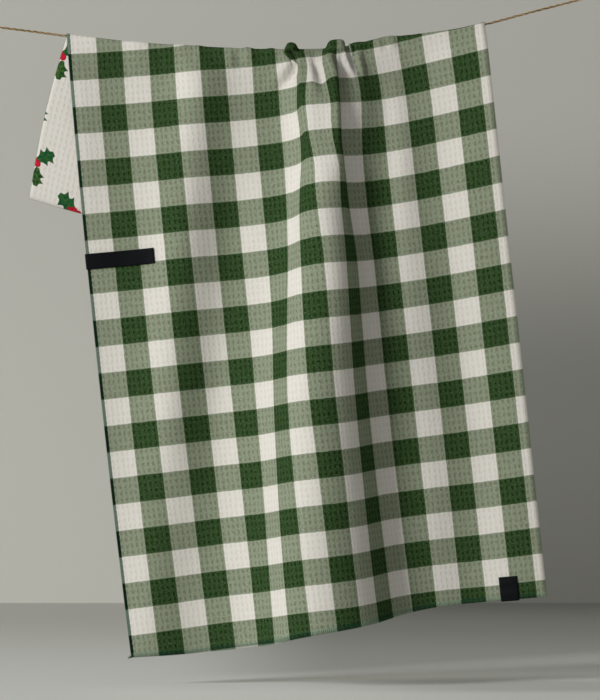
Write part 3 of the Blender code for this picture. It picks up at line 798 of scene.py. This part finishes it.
def stripes(x, y, flat):
    """1 under the printed stripes that run down, and under those that run across."""
    wobble = (flat.noise(260, 3.0) - 0.5) * STRIPE_WOBBLE
    return [
        (value / CHECK + wobble + start).folded(1.0).step(*STRIPE_EDGE)
        for value, start in ((x, STRIPE_U), (y, STRIPE_R))
    ]


def by_stripe(look, columns, rows, none, one, both):
    """A colour for places under no stripe, under one and under both."""
    return look.mix(columns * rows, look.mix(columns.most(rows), none, one), both)


def check_colour(look, columns, rows, ridge):
    tones = [look.mix(ridge, kind.pit, kind.ridge) for kind in (WHITE, MID_GREEN, DARK_GREEN)]
    return by_stripe(look, columns, rows, *tones)


def left_thread(look, rows, ply):
    return look.mix(rows, *[look.mix(ply, kind.pit, kind.ridge) for kind in LEFT_THREAD])


def mottled(look, colour, x, y, printed):
    """Single threads take the print unevenly, a little darker or lighter."""
    slanted = look.join(x + y * 0.5, y * 0.6)
    dark = slanted.noise(800, 3.0, 0.7).step(0.56, 0.36)
    light = slanted.scaled((1.0, -0.8, 1.0)).noise(1100, 3.0, 0.7).step(0.50, 0.72)
    colour = look.mix(dark * (printed * 0.36 + 0.10), colour, WORN_DARK, "MULTIPLY")
    return look.mix(light * 0.20, colour, look.mix(0.55, colour, WORN_LIGHT))


def gathered_painted_shade(x, y):
    """How much painted shade darkens the gathered cloth next to the line."""
    u = x / CHECK
    amount = (y / CHECK).step(*GATHERED[0]) * u.step(*GATHERED[1]) * u.step(*GATHERED[2])
    return amount * GATHERED_SHADE


def cotton_checks():
    look = Look("printed cotton checks")
    flat, x, y, ridge, threads = waffle(look)
    left, hem, _ = look.attribute("margin").split()
    columns, rows = stripes(x, y, flat)
    colour = check_colour(look, columns, rows, ridge)
    colour = mottled(look, colour, x, y, columns.most(rows))
    # painted shade of the hem's stitches: the cloth under them is darker, more so between them
    stitch_painted_shade = colour.shaded(x.wave(STITCH_PITCH).step(-0.2, 0.9) * 0.40 + 0.06)
    colour = look.mix(hem.below(STITCH_REACH * 0.9, STITCH_REACH * 1.1), colour, stitch_painted_shade)
    # the left edge's thread hides the cloth
    thread = left_thread(look, rows, y.wave(STITCH_PITCH).step(-0.6, 0.9))
    reach = STITCH_REACH * LEFT_REACH
    colour = look.mix(left.below(reach * 0.92, reach * 1.04), colour, thread)
    # painted shade on the gathered cloth next to the line
    return finish_cotton(look, colour.shaded(gathered_painted_shade(x, y)), ridge, threads)


# Sprigs of the reverse, in one repeat of the print: leaves as long pointed ovals
# with spines, berries as discs.  x and y in metres, turn in degrees.
REPEAT_WIDE, REPEAT_HIGH = 0.110, 0.104
REPEAT_X, REPEAT_Y = 0.040, 0.226       # where the repeat starts
Leaf = namedtuple("Leaf", "x y turn long")
Berry = namedtuple("Berry", "x y size")
LEAVES = table(
    Leaf,
    (0.0405, 0.0805, 37, 0.0200), (0.0430, 0.0752, 272, 0.0185), (0.0338, 0.0305, 276, 0.0195),
    (0.0335, 0.0320, 160, 0.0185), (0.0880, 0.0465, 151, 0.0225), (0.0900, 0.0450, 300, 0.0190),
)
BERRIES = table(
    Berry,
    (0.0422, 0.0782, 0.0034), (0.0392, 0.0812, 0.0022), (0.0375, 0.0335, 0.0029),
    (0.0815, 0.0468, 0.0030), (0.0860, 0.0478, 0.0031), (0.0905, 0.0456, 0.0034),
)
LEAF_GREENS = (
    ((0.008, 0.078, 0.030), (0.034, 0.118, 0.030)),
    ((0.012, 0.062, 0.020), (0.075, 0.140, 0.028)),
)
LEAF_VEIN = (0.10, 0.19, 0.06)
BERRY_REDS = ((0.56, 0.020, 0.045), (0.38, 0.008, 0.026))       # middle, rim
LEAF_HALF, LEAF_ROUND, SPINE_LEAN = 0.47, 0.60, 0.28
BAYS, BAY_ROUND, BAY_DEEP = 3, 0.85, 0.50


def leaf_mask(x, y, leaf):
    """1 inside a holly leaf, a pointed oval cut by round bays between spines; and on its vein."""
    dx, dy = x - leaf.x, y - leaf.y
    c, s = cos(radians(leaf.turn)), sin(radians(leaf.turn))
    t = (dx * c + dy * s) / leaf.long
    w = (dy * c - dx * s).size() / leaf.long
    inside = t.step(0.02, 0.04) * t.below(0.99, 1.01)
    # the spines lean towards the tip
    lean = (t - w * SPINE_LEAN).most(0.0).least(1.0)
    oval = (lean * pi).sine().power(LEAF_ROUND)
    bays = (lean * (BAYS * pi)).sine().size().power(BAY_ROUND)
    half = oval * (1 - bays * BAY_DEEP) * LEAF_HALF
    return (w - half).below(-0.010, 0.010) * inside, w.below(0.010, 0.030)


def wrapped(value, size):
    return value - (value / size).floor() * size


def sprig_print(look, x, y, ground, flat):
    """The reverse's print: holly sprigs with berries on a plain ground."""
    x, y = wrapped(x + REPEAT_X, REPEAT_WIDE), wrapped(y + REPEAT_Y, REPEAT_HIGH)
    tone = flat.noise(330).step(0.40, 0.64)
    colour = ground
    for i, leaf in enumerate(LEAVES):
        body, vein = leaf_mask(x, y, leaf)
        green = look.mix(tone, *LEAF_GREENS[i % 2])
        colour = look.mix(body, colour, look.mix(vein * 0.35, green, LEAF_VEIN))
    for berry in BERRIES:
        dx, dy = x - berry.x, y - berry.y
        reach = (dx * dx + dy * dy).root()
        red = look.mix(reach.step(berry.size * 0.3, berry.size), *BERRY_REDS)
        colour = look.mix(reach.below(berry.size * 0.94, berry.size * 1.04), colour, red)
    return colour


def cotton_reverse():
    look = Look("printed cotton reverse")
    flat, x, y, ridge, threads = waffle(look)
    ground = look.mix(ridge, WHITE.pit, WHITE.ridge)
    return finish_cotton(look, sprig_print(look, x, y, ground, flat), ridge, threads)


# Which thread an edge stitch shows: the reverse's print, the hem's, the left edge's
# or the printed checks.
THREAD_BACK, THREAD_HEM, THREAD_LEFT, THREAD_PRINTED = 0.0, 1.0, 2.0, 3.0
THREAD_TWIST = 0.0005


def overlock_thread():
    look = Look("overlock thread")
    x, y, which = look.attribute("flat").split()
    flat = look.join(x, y)
    columns, rows = stripes(x, y, flat)
    colour = sprig_print(look, x, y, WHITE.ridge, flat)
    for kind, tone in (
        (THREAD_HEM, by_stripe(look, columns, rows, *HEM_THREAD)),
        (THREAD_LEFT, left_thread(look, rows, flat.noise(1500, 2.0).step(0.25, 0.65))),
        (THREAD_PRINTED, check_colour(look, columns, rows, 0.7)),
    ):
        colour = look.mix(which.step(kind - 0.6, kind - 0.4), colour, tone)
    return look.finish(colour, 0.85, 0.05, ((x + y).wave(THREAD_TWIST), 0.25, 0.0001))


JUTE_DARK, JUTE_LIGHT, JUTE_TONE = (0.200, 0.130, 0.060), (0.86, 0.61, 0.32), (0.56, 0.39, 0.185)


def jute():
    look = Look("jute fibres")
    x, y, inward = look.attribute("along").split()
    fibre = look.join(x * 260.0, y * 9.0).noise(1.0, 4.0, 0.65)
    tone = look.join(x, y).noise(55).step(0.35, 0.7)
    colour = look.mix(fibre.step(0.30, 0.72), JUTE_DARK, JUTE_LIGHT)
    colour = look.mix(tone * 0.5, colour, JUTE_TONE)
    # painted shade: the grooves between the strands are darker
    colour = colour.shaded(inward.step(0.05, 0.26) * 0.66)
    return look.finish(colour, 0.85, 0.25, (fibre, 0.6, 0.00025))


SATIN_BLACKS = ((0.0030, 0.0036, 0.0048), (0.0100, 0.0112, 0.0138))
SATIN_WEAVE, SATIN_RIB = 0.00030, 0.00042


def satin(name):
    look = Look(name)
    flat = look.attribute("flat")
    x, y, _ = flat.split()
    speck = flat.noise(1400, 2.0)
    colour = look.mix(speck * 0.5, *SATIN_BLACKS)
    height = (x + y * 0.35).wave(SATIN_WEAVE) * 0.5 + y.wave(SATIN_RIB) * 0.5
    return look.finish(colour, speck * 0.16 + 0.44, 0.07, (height, 0.22, 0.00012))


# --- pieces


def make_cloth(columns, points, rows, lift):
    half = CLOTH / 2 * lift
    cloth = sheet_piece("cloth", points + half, points - half, [cotton_checks(), cotton_reverse()])
    u = np.broadcast_to(columns[:, None], rows.shape)
    hem = np.minimum(rows - rows[:, :1], rows[:, -1:] - rows)
    for name, values in (("flat", (u, rows, 0 * u)), ("margin", (u, hem, COLUMNS - u))):
        one_side = np.stack(values, axis=2).reshape(-1, 3) * CHECK
        write_attribute(cloth, name, np.concatenate([one_side, one_side]))
    return cloth


def make_overlock(place, columns, rows):
    """Stitches round all four edges: threads from the front over the edge to the back."""
    across_flat, wide = columns * CHECK, COLUMNS * CHECK
    top, hem = rows[:, 0] * CHECK, rows[:, -1] * CHECK
    # each edge's thread in front and over the edge, its length, and where a point
    # d in from the edge and w along it lies on the flat cloth
    edges = (
        (THREAD_LEFT, THREAD_LEFT, hem[0] - top[0], lambda d, w: (d, top[0] + w)),
        (THREAD_PRINTED, THREAD_PRINTED, hem[-1] - top[-1], lambda d, w: (wide - d, top[-1] + w)),
        (THREAD_HEM, THREAD_HEM, wide, lambda d, w: (w, np.interp(w, across_flat, hem) - d)),
        (THREAD_HEM, THREAD_LEFT, wide, lambda d, w: (w, np.interp(w, across_flat, top) + d)),
    )
    parts, flats = [], []
    rng = np.random.default_rng(7)

    def add(path, radius, sides, on_flat):
        parts.append(tube_arrays(path, radius, sides))
        flats.append(np.repeat(on_flat, sides, axis=0))

    for kind, rim, length, flat_at in edges:
        def locate(d, w, off, flat_at=flat_at):
            x, y = flat_at(d, w)
            return place(x / CHECK, y / CHECK, off)

        count = int(length / STITCH_PITCH)
        far = STITCH_REACH * (LEFT_REACH if kind == THREAD_LEFT else 1)
        for k in range(count):
            middle = (k + 0.5) * length / count
            lean = STITCH_PITCH * (0.32 + 0.10 * rng.standard_normal())
            reach = far * (1 + 0.05 * rng.standard_normal())
            path, on_flat = [], []
            for s in STATIONS:
                d = s.share * reach + s.inset
                w = min(max(middle + lean * (s.lean - 0.5), 0), length)
                path.append(beyond(locate, d, w, s.off * STITCH_OVER))
                which = rim if d < 0 else kind if s.off > 0 else THREAD_BACK
                on_flat.append((*flat_at(d, middle), which))
            add(path, STITCH_RADIUS, 5, on_flat)
        # the chain that joins the stitches' inner ends, in front and behind
        steps = int(length / CHAIN_PITCH)
        at = np.linspace(0.0002, length - 0.0002, steps)
        sway = far + CHAIN_SWAY * np.sin(np.arange(steps) * pi * 0.5)
        for off, which in ((CLOTH / 2 + STITCH_RADIUS * 0.4, kind),
                           (STITCH_RADIUS * 0.35 - CLOTH / 2, THREAD_BACK)):
            path = [locate(d, w, off) for d, w in zip(sway, at)]
            add(path, STITCH_RADIUS * 0.85, 4, [(*flat_at(far, w), which) for w in at])
    # the chain runs off the lower left corner as a short tail
    corner = place(0, rows[0, -1], 0)
    steps = np.linspace(0, 1, 8)[:, None]
    for tail in TAIL_THREADS:
        curl = (0.0004, 0, 0.0006) * np.sin(steps * 9 + tail.run * 900)
        path = corner + steps * (tail.run, 0.0, tail.drop) + curl
        add(path, STITCH_RADIUS, 5, [(0.0, hem[0], THREAD_LEFT)] * len(path))
    thing = mesh_piece("overlock", *joined(parts), [overlock_thread()])
    write_attribute(thing, "flat", np.concatenate(flats))
    return thing


def make_band(name, locate, front, back, proud, width, mat):
    """A satin band folded round an edge, its front and back legs flat on the cloth."""
    half = CLOTH / 2 + GAP + BAND / 2
    loop = np.linspace(0, pi, 15)
    legs = np.linspace(front, 0, 46)[:-1]
    back_legs = np.linspace(0, back, 12)[1:]
    d = np.concatenate([legs, -proud * np.sin(loop), back_legs])
    flat_back = np.full(len(back_legs), -half)
    off = np.concatenate([np.full(len(legs), half), half * np.cos(loop), flat_back])
    # the band bellies a little between its seams
    belly = BELLY * np.sin(pi * np.clip(d / front, 0, 1) * 2.0) ** 2
    off = off + np.where(off > half * 0.99, belly, 0)
    square = np.stack([np.gradient(off), -np.gradient(d)], axis=1)
    square /= np.linalg.norm(square, axis=1, keepdims=True)
    across_w = np.linspace(0, width, 18)
    # it thins towards its two long edges
    thickness = 0.35 + 0.65 * np.clip(np.minimum(across_w, width - across_w) / 0.0005, 0, 1) ** 0.5
    sheets = [
        np.array([
            [beyond(locate, a + side * k * n[0], w, o + side * k * n[1])
             for w, k in zip(across_w, thickness)]
            for a, o, n in zip(d, off, square)
        ])
        for side in (BAND / 2, -BAND / 2)
    ]
    thing = sheet_piece(name, *sheets, [mat])
    run = lengths(np.stack([d, off], axis=1))
    flat = np.stack(np.broadcast_arrays(run[:, None], across_w, 0.0), axis=2).reshape(-1, 3)
    write_attribute(thing, "flat", np.concatenate([flat, flat]))
    return thing


def seam_threads(name, locate, front, width, mat):
    """Small straight stitches across a band's far end, and across it beside the fold."""
    top = CLOTH / 2 + GAP + BAND + 0.00008
    long = width - SEAM_IN
    count = max(2, int(long / SEAM_PITCH))
    parts = []
    for d in (front - SEAM_IN, SEAM_IN * 1.2):
        for k in range(count):
            shares = [(k + 0.12 + 0.76 * share, up) for share, up in SEAM_ARCH]
            path = [locate(d, SEAM_IN / 2 + long * t / count, top + up) for t, up in shares]
            parts.append(tube_arrays(path, SEAM_RADIUS, 5))
    thing = mesh_piece(name, *joined(parts), [mat])
    write_attribute(thing, "flat", np.concatenate([verts for verts, _ in parts]))
    return thing


def eye_path(centre, twine_end):
    """The route of a twine round its eye, back to the line, and wrapped about it."""
    line = np.array([twine_end.x - centre.x, 0, twine_end.z - centre.z])
    line /= np.linalg.norm(line)
    above = np.array([-line[2], 0, line[0]])
    depth = np.array([0, 1.0, 0])

    def at(a, b, c=0.0):
        return np.array([centre.x, 0, centre.z]) + a * line + b * above + c * depth

    end = KNOT_START + KNOT_LENGTH
    path = [at(end + 0.0002, 0.0002), at(end - 0.002, 0.0003), at(KNOT_START + 0.001, 0.0007)]
    for t in np.linspace(0.42, 2 * pi - 0.42, 22):
        path.append(at(EYE_LONG / 2 * cos(t), EYE_HIGH / 2 * sin(t)))
    path.append(at(KNOT_START + 0.0004, -0.0009, 0.0002))
    for k in range(1, WRAP_STEPS + 1):
        t = k / WRAP_STEPS
        a = -pi / 2 - 2 * pi * WRAPS * t
        along_knot = KNOT_START + 0.0009 + (KNOT_LENGTH - 0.0014) * t
        path.append(at(along_knot, WRAP_OFF * sin(a), WRAP_OFF * cos(a)))
    last = path[-1]
    tail = END_LENGTH * (0.25 * line - 0.55 * above - 0.45 * depth)
    return np.array([*path, last + tail * 0.35 + 0.0004 * depth, last + tail * 0.8])


def twine_piece(name, path, mat, spacing=LINE_SPACING):
    path = refined(path, spacing)
    parts, inward = strands(path)
    thing = mesh_piece(name, *joined(parts), [mat])
    reach = lengths(path)[:, None]
    where = []
    # how far each point faces in, which the jute material paints as shade in the grooves
    for k, facing in enumerate(inward):
        turn = np.arange(STRAND_SIDES) / STRAND_SIDES + 0.37 + 0.31 * k
        around, along_it = np.broadcast_arrays(0.05 * turn, 4.0 * reach + 0.07 * k)
        where.append(np.stack([around, along_it, facing], axis=2).reshape(-1, 3))
    write_attribute(thing, "along", np.concatenate(where))
    return thing


def make_fibres(path, mat):
    """Stray fibres of the twine, springing off it at small angles."""
    rng = np.random.default_rng(3)
    path = refined(path, LINE_SPACING)
    a, b = frames(path)
    low, high = FIBRES_CLEAR
    shown = [i for i in range(40, len(path) - 40) if not low <= path[i][0] <= high]
    parts = []
    for _ in range(FIBRES):
        i = int(rng.choice(shown))
        n = int(rng.integers(5, 11))
        way = 1 if rng.random() < 0.5 else -1
        angle = rng.random() * 2 * pi
        out = np.cos(angle) * a[i] + np.sin(angle) * b[i]
        sweep = rng.uniform(0.0004, 0.0016)
        steps = []
        for k in range(n + 1):
            base = path[min(max(i + way * k, 0), len(path) - 1)]
            steps.append(base + out * (TWINE_RADIUS * 0.85 + sweep * (k / n) ** 1.7))
        parts.append(tube_arrays(steps, FIBRE_RADIUS, 3, np.linspace(1, 0.35, n + 1)))
    thing = mesh_piece("line_fibres", *joined(parts), [mat])
    write_attribute(thing, "along", np.concatenate([verts for verts, _ in parts]) * (1, 1, 0))
    return thing


# --- camera, stage and light


def add_to_scene(thing):
    bpy.context.scene.collection.objects.link(thing)
    return thing


def make_camera():
    """The photograph's viewpoint: at its eye level, looking up a touch to its middle."""
    eye_x = (EYE_LEVEL_PX[0] - ORIGIN_PX[0]) * PIXEL
    eye_z = (ORIGIN_PX[1] - EYE_LEVEL_PX[1]) * PIXEL
    middle_z = (ORIGIN_PX[1] - FRAME_HIGH / 2) * PIXEL
    camera = add_to_scene(bpy.data.objects.new("camera", bpy.data.cameras.new("camera")))
    camera.location = (eye_x, -DISTANCE, eye_z)
    aim = Vector((eye_x, 0, middle_z)) - camera.location
    camera.rotation_euler = aim.to_track_quat("-Z", "Y").to_euler()
    camera.data.sensor_width = SENSOR
    camera.data.lens = SENSOR * DISTANCE / (FRAME_HIGH * PIXEL)
    camera.data.clip_end = 60
    bpy.context.scene.camera = camera


# Wall and floor: their colours low and high, near and far, with painted light and shade: the wall
# is paler low down, the floor paler near the front.  A patch of painted shade takes a share of the
# light, and a patch of painted light gives some back: its factors are sums of shades that set in
# along one measure.
WALL_LOW, WALL_HIGH, WALL_HEIGHTS = (0.640, 0.644, 0.600), (0.556, 0.558, 0.522), (-0.62, 0.16)
FLOOR_NEAR, FLOOR_FAR, FLOOR_DEPTHS = (0.765, 0.780, 0.765), (0.590, 0.595, 0.565), (0.00, 1.50)
WALL_PAINTED_SHADOW = (("x", (1, 0.16, 0.50)), ("z", (0.57, 0.09, -0.34), (0.09, -0.30, -0.75)))
FLOOR_PAINTED_LIGHT_AND_SHADE = (
    # painted shadow past the cloth's real shadow, to its right
    (("past", (1, -0.26, 0.00)),
     ("y", (0.41, -0.20, 0.30), (0.05, 0.50, 1.20), (0.10, 1.20, 1.85)), ("x", (1, 0.17, 0.38))),
    # painted shadow under the cloth
    (("y", (1, -0.14, -0.05)), ("y", (1, 0.14, 0.03)), ("x", (0.24, 0.26, 0.52))),
    # painted light: paler where the light is blocked, so that the shadow stays thin
    (("into", (0.19, -0.03, 0.05)), ("into", (1, 0.20, 0.02)), ("x", (1, 0.17, 0.34))),
    # painted light: paler below the cloth's middle
    (("x", (0.12, 0.06, 0.24)), ("x", (1, 0.60, 0.36)), ("y", (1, 0.05, -0.12))),
)
# Where the far and the near side of the cloth's shadow lie: slope by X, and Y at X 0.
SHADOW_FAR, SHADOW_NEAR = (1.20, -0.12), (0.354, -0.066)


def patch(measures, factors):
    """How much of its light a patch of painted shade takes."""
    return reduce(mul, (
        sum(measures[name].step(low, high) * share for share, low, high in rows)
        for name, *rows in factors
    ))


def wall_material():
    look = Look("pale wall")
    x, _, z = look.geometry("Position").split()
    # painted light: the wall is paler low down
    tone = look.mix(z.step(*WALL_HEIGHTS), WALL_LOW, WALL_HIGH)
    # painted shadow of the cloth on the wall, to its right
    look.finish(tone.shaded(patch({"x": x, "z": z}, WALL_PAINTED_SHADOW)), 0.9, 0.05)
    # from behind, the wall lets the view through
    front, behind = Value(look, look.shader.outputs[0]), look.make("ShaderNodeBsdfTransparent")
    either = look.make("ShaderNodeMixShader", {0: look.geometry("Backfacing"), 1: front, 2: behind})
    look.put(look.nodes["Material Output"].inputs["Surface"], either)
    return look.material


def floor_material():
    look = Look("pale floor")
    x, y, _ = look.geometry("Position").split()
    past, into = (y - (x * slope + start) for slope, start in (SHADOW_FAR, SHADOW_NEAR))
    measures = {"x": x, "y": y, "past": past, "into": into}
    # painted shadows beside and under the cloth, less painted light in the real shadow and below
    # the cloth's middle
    painted_shadow_beside, under, painted_light_in_shadow, middle = (patch(measures, factors) for factors in FLOOR_PAINTED_LIGHT_AND_SHADE)
    # painted light: the floor is paler near the front
    tone = look.mix(y.step(*FLOOR_DEPTHS), FLOOR_NEAR, FLOOR_FAR)
    return look.finish(tone.shaded(painted_shadow_beside.most(under) - painted_light_in_shadow.most(middle)), 0.85, 0.05)


def make_stage():
    sides = (-STAGE_HALF, STAGE_HALF)

    def plane(name, near, far, mat):
        corners = [(x, *edge) for edge, xs in ((near, sides), (far, sides[::-1])) for x in xs]
        return mesh_piece(name, corners, [(0, 1, 2, 3)], [mat], False)

    foot = (WALL_Y, FLOOR_Z)
    floor = plane("floor", (FLOOR_FROM_Y, FLOOR_Z), foot, floor_material())
    wall = plane("wall", foot, (WALL_Y, WALL_TOP), wall_material())


def make_lights():
    light = bpy.data.lights.new("key", "AREA")
    light.shape = "RECTANGLE"
    light.size, light.size_y = KEY_SIZE
    light.energy = KEY_POWER
    light.color = KEY_COLOUR
    key = add_to_scene(bpy.data.objects.new("key", light))
    key.location = KEY_PLACE
    key.rotation_euler = (Vector(KEY_AIM) - Vector(KEY_PLACE)).to_track_quat("-Z", "Y").to_euler()
    world = bpy.data.worlds.new("studio")
    bpy.context.scene.world = world
    world.use_nodes = True
    background = world.node_tree.nodes["Background"]
    background.inputs[0].default_value = (*FILL_COLOUR, 1)
    background.inputs[1].default_value = FILL_STRENGTH
    bpy.context.scene.view_settings.view_transform = "Standard"


def main():
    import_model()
    make_camera()

    # the line first: twine, its eyes and its stray fibres
    first, last = TWINE_ROUTE[0], TWINE_ROUTE[-1]
    x = np.linspace(first.x, last.x, 40)
    route = np.stack([x, 0 * x, twine_height(x)], axis=1)
    fibre_look = jute()
    line = twine_piece("line", route, fibre_look)
    left = twine_piece("left_loop", eye_path(Route(0, 0), first), fibre_look, EYE_SPACING)
    right = twine_piece("right_loop", eye_path(RIGHT_EYE, last), fibre_look, EYE_SPACING)
    fibres = make_fibres(route, fibre_look)
    for piece, node in ((line, "twine"), (left, "left_eye"), (right, "right_eye")):
        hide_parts(node)
    for piece, slot in ((line, "jute_twine"), (left, "jute_left_end"), (right, "jute_right_end"),
                        (fibres, "jute_twine")):
        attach(piece, "root")

    # the cloth and what is sewn to it
    columns, points, rows, lift = cloth_grid()
    place = placer(columns, points, rows, lift)
    cloth = make_cloth(columns, points, rows, lift)
    overlock = make_overlock(place, columns, rows)

    def on_left_edge(d, w, off):
        return place(d / CHECK, TAB_ROW + w / CHECK, off)

    def on_hem(d, w, off):
        u = TAG_U + w / CHECK
        return place(u, np.interp(u, columns, rows[:, -1]) - d / CHECK, off)

    band_satin, label_satin = satin("black satin band"), satin("black satin label")
    tab_size = (TAB_FRONT, TAB_BACK, TAB_PROUD, TAB_WIDTH)
    tag_size = (TAG_FRONT, TAG_BACK, TAG_PROUD, TAG_WIDTH)
    tab = make_band("side_band", on_left_edge, *tab_size, band_satin)
    tag = make_band("hem_label", on_hem, *tag_size, label_satin)
    sewing = satin("black sewing thread")
    tab_seams = seam_threads("side_band_seams", on_left_edge, TAB_FRONT, TAB_WIDTH, sewing)
    tag_seams = seam_threads("hem_label_seams", on_hem, TAG_FRONT, TAG_WIDTH, sewing)

    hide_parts("towel")
    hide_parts("side_tab")
    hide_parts("hem_tag")
    for piece, slot in ((cloth, "checked_cotton"), (overlock, "checked_cotton"),
                        (tab, "satin_band"), (tag, "satin_label"),
                        (tab_seams, "satin_band"), (tag_seams, "satin_label")):
        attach(piece, "root")

    make_stage()
    make_lights()


main()
